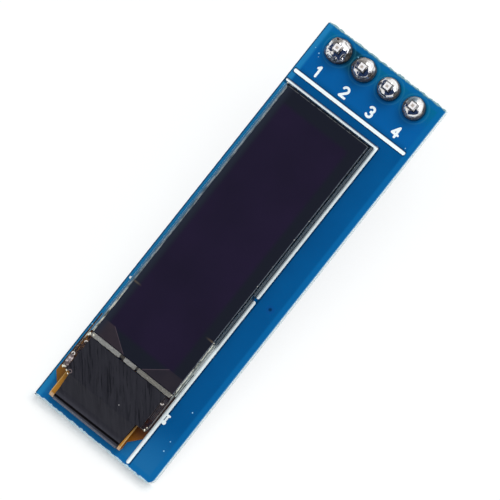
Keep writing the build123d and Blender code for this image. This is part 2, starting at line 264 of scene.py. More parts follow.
def mottled(name, colour, dark, light, scale, detail, roughness, rough=None, metallic=0.0, depth=None,
            strength=1.0, along=None):
    """A plain material, mottled between two colours, and in roughness and height where these are given."""
    paint = Paint(name, colour, roughness, metallic)
    fleck = paint.grain(scale, detail, along and paint.stretched(along))
    paint.base(fleck, dark, light)
    if rough:
        paint.set("Roughness", paint.blend(fleck, *rough))
    if depth:
        paint.bump(fleck, depth, strength)
    return paint.material


# Board

def back_tracks(paint):
    """Where copper tracks run under the mask on the board's back: from the pins to the display's tail."""
    width, soft, tail_x = 0.22, 0.05, 27.0
    lanes = (-0.9, -0.45, 0.0, 0.45)
    strips = []
    for pin_y, turn_x, lane_y in zip(pin_places, (9.5, 8.5, 8.5, 9.5), lanes):
        low, high = min(pin_y, lane_y), max(pin_y, lane_y)
        strips += [(0.0, turn_x, pin_y, pin_y), (turn_x, turn_x, low, high), (turn_x, tail_x, lane_y, lane_y)]
    masks = []
    for x0, x1, y0, y1 in strips:
        masks.append(paint.both(paint.between(paint.x, x0 - width / 2, x1 + width / 2, soft),
                                paint.between(paint.y, y0 - width / 2, y1 + width / 2, soft)))
    vias = [(tail_x, lane_y) for lane_y in lanes] + [(14.0, 3.6), (18.5, -3.9), (31.0, 2.2), (31.6, -2.8)]
    masks += [paint.step(paint.distance(x, y), 0.3, 0.24) for x, y in vias]
    return paint.most(*masks)


def board_paint():
    """Blue solder mask over fibreglass, with pale cut edges."""
    paint = Paint("board_mask", (2, 86, 148), 0.12, Specular_IOR_Level=0.3)
    x, y = paint.x, paint.y
    clouds = paint.grain(0.35, 3)
    paint.base(clouds, (0, 75, 132), (0, 88, 148))
    near_end, far_end = paint.minus(x, board_low.x), paint.minus(board_high.x, x)
    near_side, far_side = paint.minus(y, board_low.y), paint.minus(board_high.y, y)
    to_end = paint.math("MINIMUM", near_end, far_end)
    to_edge = paint.math("MINIMUM", paint.math("MINIMUM", near_side, far_side), to_end)
    paint.lay((x, 3.2, 2.6), (6, 98, 172), 0.5)
    # greener round the header, where the copper below stops short, and in shade between two joints
    greenish = paint.both((near_end, 2.6, 0.7), (paint.grain(0.9, 2), 0.15, 0.5))
    paint.lay(greenish, (0, 104, 142), 0.8)
    paint.lay((paint.distance(-0.45, -2.6), 1.9, 0.7), (6, 56, 74), 0.9)
    # paler towards the flexible circuit's end and along the edges: a painted sheen
    paint.lay((far_end, 5.0, 0.6), (30, 110, 166), 0.75)
    paint.lay((to_edge, 0.62, 0.42), (4, 100, 162), 0.8)
    paint.lay((y, -5.3, -5.58), (32, 126, 180), 0.8)
    # painted shade: a dark line beside the white print and the glass
    by_long_line = paint.both(paint.between(y, long_line_side, long_line_side + 0.16, 0.08),
                              paint.between(x, 4.1, 35.9, 0.1))
    by_head_line = paint.both(paint.near(x, head_line_x, 0.14, 0.22), (y, 3.7, 3.6))
    by_bar = paint.both(paint.near(x, bar_x, 0.2, 0.29), paint.between(y, -5.8, 5.5, 0.1))
    by_glass = paint.both(paint.between(x, outline_x, outline_x + 0.3, 0.06), (y, 3.5, 3.4))
    paint.lay(paint.most(by_long_line, by_head_line, by_bar, by_glass), (0, 36, 66), 0.7)
    # a grey strip under the glass's far side: painted reflection and shade seen there
    grey_by_glass = paint.both(paint.between(y, film_high.y, panel_high.y + 0.015, 0.03),
                         paint.between(x, outline_x, panel_high.x, 0.1))
    paint.lay(grey_by_glass, (50, 64, 76), 0.9)
    # flux and shade round the joints
    for collar, place in zip(collars, pin_places):
        ring = paint.distance(0.0, place)
        rim = hole_radius + collar
        paint.lay(paint.between(ring, rim + 0.22, rim + 0.32, 0.1), (70, 160, 190), 0.14)
        paint.lay((ring, rim + 0.16, rim - 0.05), (0, 36, 62), 0.8)
    # small white specks and one hole closed with mask
    for place_x, place_y, radius in specks:
        paint.lay((paint.distance(place_x, place_y), radius, radius * 0.5), (150, 205, 235))
    from_hole = paint.distance(*closed_hole)
    paint.lay((from_hole, 0.42, 0.3), (4, 78, 140))
    paint.lay((from_hole, 0.2, 0.08), (2, 48, 92))
    # the mask is chipped along the snapped ends, white at the display's end and grey at the header's
    ragged = paint.plus(to_end, paint.scaled(paint.minus(paint.grain(3.4, 4), 0.5), 0.3))
    chipped = paint.mix((x, 0.0, 1.0), (112, 152, 154), (206, 234, 242))
    paint.lay((ragged, 0.1, 0.04), chipped, 0.85)
    # a painted highlight along the far side's edge, and painted shade along the near side's edge
    paint.lay((far_side, 0.08, 0.03), (120, 180, 214), 0.6)
    paint.lay((near_side, 0.13, 0.07), (4, 48, 80), 0.85)
    # the back: plain mask over tracks
    on_back = paint.step(paint.upward, -0.5, -0.7)
    tracks = back_tracks(paint)
    back = paint.mix(clouds, (0, 70, 124), (0, 84, 142))
    paint.lay(on_back, paint.mix(paint.scaled(tracks, 0.8), back, (22, 116, 178)))
    # cut edges: layers of glass cloth in resin
    layers = paint.grain(3.0, 4, paint.stretched((3.0, 3.0, 0.22)))
    fibre = paint.mix(layers, (176, 196, 196), (236, 244, 246))
    paint.lay((paint.math("ABSOLUTE", paint.upward), 0.7, 0.3), fibre)
    raised = paint.scaled(paint.both(tracks, on_back), 8.0)
    paint.bump(paint.plus(paint.grain(3.0, 2), raised), 0.003, 0.3)
    return paint.material


def white_print():
    """White ink, thin along its edges and in shade beside the glass."""
    paint = Paint("white_print", (244, 252, 254), 0.6, Specular_IOR_Level=0.2)
    x, y = paint.x, paint.y
    ink = paint.grain(4.0, 3)
    paint.base(ink, (234, 246, 250), (248, 255, 255))
    beside_glass = paint.both((y, 3.41, 3.25), (y, 3.15, 3.2), (x, outline_x + 0.1, outline_x + 0.2))
    share = paint.blend((x, middle_line_x, middle_line_x + 0.2), 0.8, 0.45)
    paint.lay(paint.both(beside_glass, share), (72, 88, 102))
    thin = [paint.between(x, low, high, 0.04) for low, high in ((4.0, 4.23), (3.0, 3.17), (3.46, 3.6))]
    paint.lay(paint.most(*thin), (12, 58, 100), 0.8)
    paint.bump(ink, 0.005, 0.3)
    return paint.material


# Header and solder

def from_pin_axis(paint):
    """Square distance from the middle of the nearest pin, from what repeats along the row."""
    across = paint.math("FRACT", paint.scaled(paint.y, 1 / pin_pitch))
    across = paint.scaled(paint.minus(across, 0.5), pin_pitch)
    return paint.most(paint.math("ABSOLUTE", paint.x), paint.math("ABSOLUTE", across))


def tinned_metal():
    """Tin plate, with the sheared brass of the pins' top ends."""
    paint = Paint("tinned_metal", (205, 200, 192), 0.3, 1.0)
    draw_lines = paint.grain(6.0, 3, paint.stretched((1, 1, 8)))
    paint.base(draw_lines, (188, 182, 174), (226, 222, 216))
    at_tip = paint.step(paint.z, pin_tip - 0.02, pin_tip - 0.005)
    cut_end = paint.both(at_tip, (paint.upward, 0.8, 0.95))
    torn = paint.grain(5.0, 4)
    core = paint.step(paint.plus(from_pin_axis(paint), paint.scaled(torn, 0.14)), 0.23, 0.13)
    sheared = paint.mix(torn, (244, 238, 238), (255, 254, 254))
    paint.lay(cut_end, paint.mix(paint.scaled(core, 0.8), sheared, (158, 142, 128)))
    paint.set("Metallic", paint.minus(1.0, paint.scaled(cut_end, 0.8)))
    paint.set("Roughness", paint.most(paint.blend(draw_lines, 0.22, 0.42), paint.scaled(cut_end, 0.5)))
    paint.bump(paint.plus(draw_lines, paint.both(cut_end, torn)), 0.02, 0.5)
    return paint.material


def solder_metal():
    """Bright solder: brown on the steep sides, a brown patch on three joints and a painted teal reflection on
    the fourth, painted shade in a line round each pin and at the foot.
    """
    paint = Paint("solder", (214, 212, 208), 0.1, 1.0)
    film = paint.grain(3.0, 3)
    paint.base(film, (196, 194, 192), (246, 245, 246))
    steep = paint.both((paint.upward, 0.6, 0.4), (film, 0.2, 0.42))
    paint.lay(steep, (92, 82, 74))
    smoke = paint.scaled(paint.grain(2.6, 4), 0.5)
    # a patch on the same side of each joint: brown on the first three, a painted dark teal reflection on the
    # fourth
    spots = []
    for place, (away_x, away_y, reach) in zip(pin_places, joint_patches):
        off = paint.plus(paint.distance(away_x, place + away_y), smoke)
        spots.append(paint.step(off, reach + 0.25, reach - 0.05))
    brown, teal_reflection = paint.most(*spots[:3]), spots[3]
    paint.lay(brown, (104, 94, 84), 0.8)
    paint.lay(teal_reflection, (52, 84, 102), 0.85)
    dull = paint.most(steep, paint.scaled(brown, 0.8), paint.scaled(teal_reflection, 0.6))
    # painted shade: a dark line round each pin, where the solder meets it
    low = paint.step(paint.z, board_top, board_top + 0.5)
    paint.lay(paint.both((from_pin_axis(paint), 0.42, 0.36), low), (40, 38, 42), 0.85)
    # painted shade at the solder's foot, where it meets the board
    paint.lay((paint.z, board_top + 0.18, board_top + 0.03), (40, 34, 32))
    paint.set("Metallic", paint.minus(1.0, paint.scaled(dull, 0.6)))
    paint.set("Roughness", paint.most(paint.blend(film, 0.05, 0.14), paint.scaled(dull, 0.3)))
    paint.bump(paint.grain(3.2, 3), 0.05, 0.6)
    return paint.material


# Display

def panel_glass():
    """Clear glass that lets the lamps' light through to what lies under it."""
    paint = Paint("panel_glass", (251, 251, 249), 0.02, 0.0, IOR=1.5, Transmission_Weight=1.0)
    paint.set("Roughness", paint.blend(paint.grain(1.2, 3), 0.0, 0.04))
    path = paint.node("ShaderNodeLightPath").outputs
    paint.set("Alpha", paint.minus(1.0, paint.most(path["Is Shadow Ray"], path["Is Diffuse Ray"])))
    return paint.material


def rear_glass():
    """The rear sheet, whose cut sides look dark, with a painted reflection of the pale tape beyond the
    print's middle line.
    """
    paint = Paint("rear_glass", (24, 44, 52), 0.3, 0.0, IOR=1.5, Specular_IOR_Level=0.12)
    depth = paint.grain(1.5, 3)
    paint.base(depth, (10, 28, 42), (28, 54, 70))
    # pale mottling beyond the print's middle line: a painted reflection of the pale tape
    tape_reflection = paint.mix((paint.grain(2.2, 4), 0.35, 0.6), (92, 98, 88), (190, 200, 190))
    paint.lay((paint.x, middle_line_x, middle_line_x + 0.15), tape_reflection)
    paint.set("Roughness", paint.blend(depth, 0.22, 0.4))
    return paint.material


def glass_side():
    """The front sheet's broken sides: teal, pale and mottled beyond the print's middle line as a painted
    reflection of the tape, brownish on the ledge.
    """
    paint = Paint("glass_side", (30, 48, 60), 0.3, 0.0, IOR=1.5, Specular_IOR_Level=0.1)
    x = paint.x
    depth = paint.grain(1.4, 4)
    paint.base(depth, (10, 27, 42), (30, 54, 70))
    mottle = paint.step(paint.grain(2.4, 4), 0.42, 0.6)
    # beyond the print's middle line: a painted reflection of the pale tape
    pale = paint.mix(mottle, (66, 74, 70), (142, 150, 140))
    paint.lay((x, middle_line_x, middle_line_x + 0.15), pale)
    by_ledge = paint.both((x, 27.9, 28.3), (paint.grain(1.8, 3), 0.35, 0.5))
    paint.lay(by_ledge, (74, 72, 52))
    paint.lay((x, ledge_x + 0.1, ledge_x + 0.4), paint.mix(mottle, (40, 36, 38), (96, 82, 74)))
    paint.set("Roughness", paint.blend(depth, 0.22, 0.45))
    return paint.material


def ground_rim():
    """Splintered glass along the scored edges, with painted glints in its grains and splinters and a tint for
    each stretch.
    """
    paint = Paint("ground_rim", (150, 160, 156), 0.35)
    x, y = paint.x, paint.y
    grains = paint.grain(7.0, 3)
    bright = paint.step(grains, 0.46, 0.66)
    splinters = paint.grain(4.0, 4, paint.stretched((2.6, 0.4, 1.0)))
    paint.base((splinters, 0.42, 0.56), (34, 36, 28), (224, 226, 214))
    # beside the film the rim's outer part is painted with the board's blue that shows through the glass, its
    # inner part is a pale thread, a painted highlight
    thread = paint.mix((splinters, 0.36, 0.62), (66, 82, 96), (156, 164, 168))
    paler = paint.mix((splinters, 0.38, 0.6), (82, 82, 74), (232, 230, 216))
    thread = paint.mix((x, 24.0, 27.0), thread, paler)
    thread = paint.mix(paint.scaled(bright, 0.5), thread, (84, 92, 90))
    by_film = paint.mix((y, -5.25, -5.11), (42, 108, 144), thread)
    paint.lay(paint.both((y, -4.6, -5.0), (x, ledge_x + 0.3, ledge_x)), by_film)
    # brownish on the ledge, nearly black at the header's end as painted shade, dark along the far side up to
    # the middle line
    paint.lay((x, ledge_x + 0.3, ledge_x + 1.0), paint.mix(bright, (54, 46, 42), (128, 108, 86)))
    head = paint.both((x, film_low.x + 0.13, film_low.x + 0.03), (y, -4.9, -4.6))
    paint.lay(head, paint.mix(bright, (24, 31, 40), (62, 70, 80)))
    far_side = paint.both((y, 3.0, 3.1), (x, middle_line_x + 0.1, middle_line_x - 0.1))
    paint.lay(far_side, paint.mix(bright, (30, 48, 60), (70, 92, 106)))
    paint.set("Roughness", paint.blend(grains, 0.25, 0.5))
    paint.bump(grains, 0.03, 0.8)
    return paint.material


def bead_filler():
    """Grey sealant with pale grit under the ledge, painted near white to stand in for light that the glass
    and film hold back from it.
    """
    paint = Paint("bead_filler", (236, 236, 224), 0.7)
    fill = paint.grain(5.0, 4)
    # near white: painted light that makes up for what the glass and film hold back
    paint.base(fill, (228, 226, 220), (255, 255, 251))
    paint.lay((paint.y, -1.4, -0.2), (190, 184, 170), 0.75)
    paint.lay((paint.cells(5.0), 0.3, 0.1), (255, 255, 250), 0.6)
    paint.bump(fill, 0.04, 0.6)
    return paint.material


def polarizer_film():
    """The dark film, and what shows through it: the lit area and the fans of fine tracks by the ledge."""
    paint = Paint("polarizer_film", (32, 26, 44), 0.12, Specular_IOR_Level=0.35)
    x, y = paint.x, paint.y
    lit = paint.both(paint.between(x, *lit_x, 0.5), paint.between(y, *lit_y, 0.5))
    paint.base(lit, (27, 29, 38), paint.mix(paint.grain(0.25, 2), (27, 22, 38), (36, 27, 50)))
    # each fan narrows towards the ledge; each row: its edge's place at start and end, its side and strength
    fan_start, fan_end = 28.06, ledge_x - 0.05
    share = paint.math("DIVIDE", paint.minus(x, fan_start), fan_end - fan_start)
    started = paint.step(x, 28.0, 28.1)
    uneven = paint.blend(paint.grain(0.9, 3), 0.5, 1.4)
    for start_y, end_y, side, strength in ((-3.87, -1.99, -1, 0.32), (1.68, -0.01, 1, 0.2)):
        beyond = paint.scaled(paint.minus(y, paint.blend(share, start_y, end_y)), side)
        paint.lay(paint.both((beyond, 0.0, 0.05), started, uneven), (78, 64, 66), strength)
        paint.lay(paint.both(paint.between(beyond, -0.04, 0.04, 0.05), started), (104, 88, 96), 0.45)
    paint.lay((y, -4.2, -4.9), (38, 43, 54), 0.8)
    # the film's far edge leans out a little towards the ledge
    far_edge = paint.plus(paint.scaled(paint.minus(x, film_low.x), film_far_lean), film_far)
    from_far = paint.minus(far_edge, y)
    # the print's middle line glimmers through beside the film's two long edges
    from_side = paint.math("MINIMUM", paint.minus(y, film_near), from_far)
    over_line = paint.between(x, middle_line_x - 0.08, middle_line_x + 0.06, 0.1)
    paint.lay(paint.both(over_line, (from_side, 0.85, 0.2)), (104, 92, 76), 0.5)
    # the film's cut edge catches light along the far side and the header end
    far_rim = paint.both((from_far, 0.06, 0.03), (paint.grain(1.8, 3), 0.2, 0.5))
    glints = paint.both((from_far, 0.09, 0.03), (paint.grain(2.6, 3), 0.62, 0.7))
    at_head = paint.step(x, film_head + 0.07, film_head + 0.03)
    paint.lay(far_rim, (112, 122, 134), 0.55)
    paint.lay(glints, (214, 214, 206), 0.8)
    paint.lay(paint.both(at_head, (paint.grain(3.0, 2), 0.3, 0.55)), (110, 112, 112), 0.6)
    paint.set("Roughness", paint.blend(paint.grain(1.5, 3), 0.08, 0.16))
    return paint.material


# Flexible circuit and tape

def flex_film():
    """Amber film, with painted highlights along its cut sides, a paler fold, glue from the tape, painted
    shade where it is bonded under the glass, and shade on the tail.
    """
    paint = Paint("flex_film", (185, 124, 30), 0.3, Specular_IOR_Level=0.3)
    x, y = paint.x, paint.y
    paint.base(paint.grain(1.2, 3), (148, 96, 18), (186, 130, 40))
    # painted highlights along the cut sides
    cut_side_highlight = paint.most((y, flex_neck_near + 0.1, flex_neck_near + 0.03),
                          (y, flex_neck_far - 0.12, flex_neck_far - 0.03))
    paint.lay(cut_side_highlight, (214, 180, 118), 0.55)
    paint.lay((x, fold_x - 0.08, fold_x + 0.08), (212, 178, 140), 0.8)
    # black glue from the tape covers it almost to its far edge
    lean = paint.plus(y, paint.scaled(paint.minus(x, 33.2), 0.06))
    glued = paint.both((y, 0.0, 0.5), (lean, flex_neck_far - 0.08, flex_neck_far - 0.12))
    paint.lay(glued, (40, 37, 40))
    # the tail on the board lies in shade, darkest beside the glass on the far side
    shoulder = paint.mix((x, 33.2, 34.3), (80, 42, 12), (142, 84, 8))
    shoulder = paint.mix((y, 0.5, -0.5), shoulder, (140, 92, 22))
    paint.lay((paint.z, 3.95, 3.7), shoulder)
    # dark mottling where it is bonded under the glass's edge, partly painted shade
    bonded_and_shaded = paint.both((x, panel_high.x + 0.05, panel_high.x - 0.05), (paint.grain(2.5, 4), 0.66, 0.48))
    paint.lay(bonded_and_shaded, (50, 42, 44), 0.9)
    paint.bump(paint.grain(3.0, 2), 0.01, 0.4)
    return paint.material


def black_tape():
    """Black tape with slanting streaks and wrinkles, painted shade in a crease along the fold and a painted
    reflection on a bluish lip below it.
    """
    paint = Paint("black_tape", (45, 44, 50), 0.34, Specular_IOR_Level=0.5)
    x, y = paint.x, paint.y
    streaks = paint.grain(1.6, 4, paint.stretched((3.5, 0.35, 1.0), 42))
    paint.base(streaks, (27, 26, 31), (50, 49, 56))
    # narrow dark wrinkles across the ledge, fading towards the fold
    lines = paint.grain(1.5, 3, paint.stretched((3.0, 0.17, 1.0), 41), 0.6, 0.3)
    wrinkle = paint.both((lines, 0.47, 0.38), (x, 34.4, 32.6))
    paint.lay(wrinkle, (12, 11, 15), 0.8)
    paint.lay((x, 34.7, 35.0), (84, 83, 94), 0.22)
    # the crease is painted black as shade and widens to the far side
    skewed = paint.plus(x, paint.scaled(y, 0.015))
    crease = paint.both((skewed, fold_x - 0.17, fold_x - 0.13), (skewed, fold_x + 0.07, fold_x))
    paint.lay(crease, (3, 3, 5), 0.95)
    paint.lay((skewed, fold_x + 0.04, fold_x + 0.1), (40, 42, 54), 0.8)
    # a painted reflection on the lip over the fold
    paint.lay((x, fold_x + 0.17, fold_x + 0.21), (92, 96, 116), 0.5)
    paint.lay((paint.distance(*tape_speck), 0.045, 0.02), (200, 200, 198))
    paint.set("Roughness", paint.most(paint.blend(streaks, 0.28, 0.42), paint.scaled(crease, 0.9)))
    paint.set("Specular IOR Level", paint.blend(crease, 0.5, 0.03))
    paint.bump(paint.minus(streaks, paint.scaled(wrinkle, 0.5)), 0.012, 0.5)
    return paint.material


# Parts on the board's back

def chip_part_paint(name, node, middle, middle_low, terminal_length=0.3):
    """A chip part's coloured middle between its tinned ends."""
    low, high = limits(node)
    lengthwise = high.x - low.x > high.y - low.y
    axis = 0 if lengthwise else 1
    paint = Paint(name, middle, 0.45)
    place = paint.x if lengthwise else paint.y
    is_middle = paint.between(place, low[axis] + terminal_length, high[axis] - terminal_length, 0.02)
    grain = paint.grain(7.0, 4)
    body = paint.mix(grain, middle_low, middle)
    paint.base(is_middle, paint.mix(grain, (180, 176, 168), (220, 217, 210)), body)
    paint.set("Metallic", paint.minus(1.0, is_middle))
    paint.set("Roughness", paint.blend(is_middle, 0.3, 0.5))
    paint.bump(grain, 0.015, 0.5)
    return paint.material


# One finish for each node
finishes = {
    "board": board_paint(),
    "header_body": mottled("header_plastic", (26, 26, 28), (20, 20, 22), (34, 34, 36), 9.0, 4, 0.5,
                           rough=(0.42, 0.62), depth=0.02, strength=0.5),
    "substrate_glass": panel_glass(),
    "perimeter_seal": mottled("sealant", (24, 40, 48), (14, 24, 30), (38, 58, 66), 3.0, 4, 0.5,
                              depth=0.02, strength=0.6),
    "desiccant": mottled("drying_sheet", (225, 225, 218), (205, 205, 196), (238, 238, 232), 4.0, 4, 0.8,
                         depth=0.03),
    "emitting_film": mottled("film_metal", (190, 192, 196), (170, 172, 178), (206, 208, 212), 2.0, 2, 0.25,
                             rough=(0.2, 0.32), metallic=1.0),
    "polarizer": polarizer_film(),
    "driver_chip": mottled("chip_silicon", (50, 50, 56), (42, 42, 48), (66, 66, 72), 8.0, 2, 0.2,
                           rough=(0.15, 0.3), metallic=0.4, along=(0.3, 4, 1)),
    "flex_ribbon": flex_film(),
    "ledge_tape": black_tape(),
    "long_mounting_tape": mottled("foam_tape", (226, 226, 222), (204, 204, 200), (240, 240, 236), 6.0, 4, 0.7,
                                  depth=0.03),
    "board_print": white_print(),
    "regulator_case": mottled("moulded_case", (30, 30, 32), (24, 24, 26), (42, 42, 44), 10.0, 4, 0.55,
                              depth=0.02, strength=0.6),
}
solder = solder_metal()
metal = tinned_metal()
finishes["cap_glass"] = rear_glass()
finishes["edge_bead"] = bead_filler()
finishes["short_mounting_tape"] = finishes["long_mounting_tape"]
for name in ("flex_joints", "chip_part_solder", *(f"solder_joint_{n}" for n in (1, 2, 3, 4))):
    finishes[name] = solder
for name in ("regulator_leads", *(f"header_pin_{n}" for n in (1, 2, 3, 4))):
    finishes[name] = metal
for name in nodes:
    if name.startswith("capacitor"):
        finishes[name] = chip_part_paint(f"ceramic_{name}", name, (176, 146, 110), (146, 116, 82))
    if name.startswith("resistor"):
        finishes[name] = chip_part_paint(f"coat_{name}", name, (38, 38, 42), (24, 24, 28))
for name, made in nodes.items():
    made.data.materials.clear()
    made.data.materials.append(finishes[name])


# Mesh helpers

def add_object(name, data):
    """A new object in the scene, with its data."""
    made = bpy.data.objects.new(name, data)
    scene.collection.objects.link(made)
    return made


def piece(name, verts, faces, material, slot, smooth=False):
    """A mesh piece in the part's frame, from millimetres, that rides on the part."""
    mesh = bpy.data.meshes.new(name)
    mesh.from_pydata([Vector(v) * MM for v in verts], [], faces)
    mesh.update()
    made = add_object(name, mesh)
    mesh.materials.append(material)
    if smooth:
        mesh.polygons.foreach_set("use_smooth", [True] * len(mesh.polygons))
    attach(made, "root")
    return made


def joined(skins):
    """Verts and faces of several skins as one."""
    verts, faces = [], []
    for skin_verts, skin_faces in skins:
        faces += [tuple(k + len(verts) for k in face) for face in skin_faces]
        verts += skin_verts
    return verts, faces


def band(first, second, count):
    """Faces between two closed rings of so many points; each ring is given by its number."""
    around = [(k, (k + 1) % count) for k in range(count)]
    return [(first * count + k, first * count + n, second * count + n, second * count + k) for k, n in around]


def lofted(levels):
    """Verts and faces of a closed skin through rings of equal length, from the lowest to the highest."""
    count, last = len(levels[0]), len(levels) - 1
    faces = [face for level in range(last) for face in band(level, level + 1, count)]
    faces += [tuple(reversed(range(count))), tuple(last * count + k for k in range(count))]
    return [point for ring in levels for point in ring], faces


def direction(around, tilt):
    """The unit vector at an angle about Z and a tilt above the board's plane."""
    return Vector((math.cos(around) * math.cos(tilt), math.sin(around) * math.cos(tilt), math.sin(tilt)))


def arc(cx, cy, radius, start, end, steps=14):
    """Points along an arc, with its angles in degrees."""
    angles = [math.radians(start + (end - start) * k / steps) for k in range(steps + 1)]
    return [(cx + radius * math.cos(angle), cy + radius * math.sin(angle)) for angle in angles]


def ring_walk(outline, step_length):
    """Points along a closed outline, no further apart than the given length."""
    points = []
    for first, second in zip(outline, outline[1:] + outline[:1]):
        first, second = Vector(first), Vector(second)
        count = max(1, math.ceil((second - first).length / step_length))
        points += [first.lerp(second, k / count) for k in range(count)]
    return points


def blob(centre, size, turn, seed, rough, turns=28, rings=14):
    """A rounded lump: verts and faces of an uneven ellipsoid with the given half sizes."""
    verts, faces = [], []
    spin = Matrix.Rotation(math.radians(turn), 3, "Z")
    for ring in range(1, rings):
        tilt = math.pi * ring / rings - math.pi / 2
        for k in range(turns):
            way = direction(2 * math.pi * k / turns, tilt)
            swell = 1 + rough * noise.noise(way * 1.7 + Vector((seed, 0, 0)))
            verts.append(Vector(centre) + spin @ Vector([way[i] * size[i] * swell for i in range(3)]))
    for ring in range(rings - 2):
        faces += band(ring, ring + 1, turns)
    low, high = len(verts), len(verts) + 1
    verts += [Vector(centre) - Vector((0, 0, size[2])), Vector(centre) + Vector((0, 0, size[2]))]
    last = (rings - 2) * turns
    for k in range(turns):
        faces.append((low, (k + 1) % turns, k))
        faces.append((high, last + k, last + (k + 1) % turns))
    return verts, faces


# Solder joints

def solder_dome(number, rim, height, seed, wave, lumps):
    """One joint's solder: a ball cut flat by the board, with slow waves, lumps and a rise up the pin."""
    turns, rings = 96, 48
    middle = height - rim
    foot, crown = -math.asin(middle / rim), math.acos(pin_half / rim)
    centre = Vector((0, pin_places[number - 1], board_top))
    verts, faces = [], []
    for ring in range(rings):
        share = ring / (rings - 1)
        angle = foot + (crown - foot) * share
        to_pin = max(0.0, (share - 0.72) / 0.28) ** 2
        free = min(1.0, share * 6) * (1 - to_pin)
        for turn in range(turns):
            around = 2 * math.pi * turn / turns
            square = 1 / max(abs(math.cos(around)), abs(math.sin(around)))
            level = math.cos(angle) * rim * (1 + 0.02 * math.cos(2 * around + seed))
            radius = level + (pin_half * (0.7 * square + 0.3) - level) * to_pin
            point = direction(around, 0.0) * radius
            point.z = middle + rim * math.sin(angle)
            place = Vector((seed * 9.1, 0, 0))
            rise = wave * (noise.noise(point * 1.9 + place) + 0.45 * noise.noise(point * 4.6 + place))
            for lump, size, amount in lumps:
                rise += amount * math.exp(-(((point - Vector(lump)).length / size) ** 2))
            point += direction(around, angle) * rise * free + Vector((0, 0, 0.05 * to_pin))
            point.z = max(point.z, 0.0)
            verts.append(point + centre)
    for ring in range(rings - 1):
        faces += band(ring, ring + 1, turns)
    verts.append(centre + Vector((0, 0, height - 0.1)))
    tip, last = len(verts) - 1, (rings - 1) * turns
    for turn in range(turns):
        faces.append((last + turn, last + (turn + 1) % turns, tip))
    faces.append(tuple(reversed(range(turns))))
    made = piece(f"solder_dome_{number}", verts, faces, solder, "solder", smooth=True)
    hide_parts(f"solder_joint_{number}")


for number, collar, height, wave, lumps in zip((1, 2, 3, 4), collars, joint_heights, wave_depths, lump_sets):
    solder_dome(number, hole_radius + collar, height, number * 1.37, wave, lumps)


# Pin numbers: digit strokes in a box 0.62 wide and 1 high, right and up
digit_strokes = {
    1: [[(0.14, 0.78), (0.34, 0.98), (0.34, 0.0)]],
    2: [arc(0.31, 0.70, 0.28, 165, -35) + [(0.02, 0.0), (0.62, 0.0)]],
    3: [arc(0.29, 0.735, 0.255, 150, -80), arc(0.29, 0.27, 0.28, 80, -150)],
    4: [[(0.46, 0.0), (0.46, 0.98), (0.02, 0.28), (0.66, 0.28)]],
}
digit_height = 0.86
digit_middle = 0.31
digit_row_x = 2.30
digit_shift = [-0.31, -0.13, -0.05, -0.02]
ink_width, ink_height = 0.2, 0.02


def stroke(points):
    """A flat raised line with round ends and joins, from points; each segment lies a hair above the last."""
    half, steps, lift = ink_width / 2, 12, 0.000623
    skins = []
    for index, ((ax, ay), (bx, by)) in enumerate(zip(points, points[1:])):
        turn = math.degrees(math.atan2(by - ay, bx - ax))
        ring = arc(ax, ay, half, turn + 90, turn + 270, steps)
        ring += arc(bx, by, half, turn - 90, turn + 90, steps)
        count = len(ring)
        top = board_top + ink_height + lift * index
        verts = [(x, y, board_top) for x, y in ring] + [(x, y, top) for x, y in ring]
        skins.append((verts, [tuple(range(count, 2 * count))] + band(0, 1, count)))
    return joined(skins)


for number, lines in digit_strokes.items():
    middle_y = pin_places[number - 1] + digit_shift[number - 1]
    placed = [[(digit_row_x + (0.5 - v) * digit_height, middle_y + (u - digit_middle) * digit_height)
               for u, v in line] for line in lines]
    digit = joined([stroke(points) for points in placed])
    piece(f"pin_number_{number}", *digit, finishes["board_print"], "white_print")


# Board

def board_outline():
    """The board's outline, anticlockwise, with one milled corner."""
    x0, x1, y0, y1 = board_low.x, board_high.x, board_low.y, board_high.y
    sharp, milled = 0.15, 0.6
    corners = [(x1, y0, sharp, 270), (x1, y1, milled, 0), (x0, y1, sharp, 90), (x0, y0, sharp, 180)]
    outline = []
    for cx, cy, radius, start in corners:
        sx, sy = (1 if cx == x1 else -1), (1 if cy == y1 else -1)
        outline += arc(cx - sx * radius, cy - sy * radius, radius, start, start + 90, 8)
    return outline


def worn_board():
    """The board with ends snapped along a score, smooth milled sides and a worn upper edge."""
    outline = ring_walk(board_outline(), 0.12)
    middle_x = (board_low.x + board_high.x) / 2
    at_edge = 0.05
    # each row: height, how far the edge is worn back, and how torn the snapped ends are
    rows = [(0.0, 0.03, 0.0), (0.03, 0.0, 0.0), (0.3, 0.0, 0.3), (0.38, 0.0, 1.0), (0.5, 0.0, 0.7),
            (0.62, 0.0, 1.0), (0.7, 0.0, 0.3), (0.97, 0.0, 0.0), (1.0, 0.03, 0.0)]
    levels = []
    for z, inset, torn in rows:
        ring = []
        for point in outline:
            at_end = min(point.x - board_low.x, board_high.x - point.x) < at_edge
            at_side = min(point.y - board_low.y, board_high.y - point.y) < at_edge
            rough = 0.02 + 0.07 * torn if at_end else 0.008
            seed = Vector((point.x * 2.5, point.y * 2.5, z * 2.0))
            jitter = rough * (noise.noise(seed) + 0.6 * noise.noise(seed * 3.1)) - rough * 0.5
            jitter += 0.13 * torn if at_end else 0.0
            sx = -1 if point.x < middle_x else 1
            sy = -1 if point.y < 0 else 1
            x = point.x + (sx * (jitter - inset) if at_end else 0)
            y = point.y + (sy * (jitter - inset) if at_side else 0)
            ring.append((x, y, board_low.z + z))
        levels.append(ring)
    made = piece("worn_board", *lofted(levels), finishes["board"], "board_mask")
    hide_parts("board")


# Display

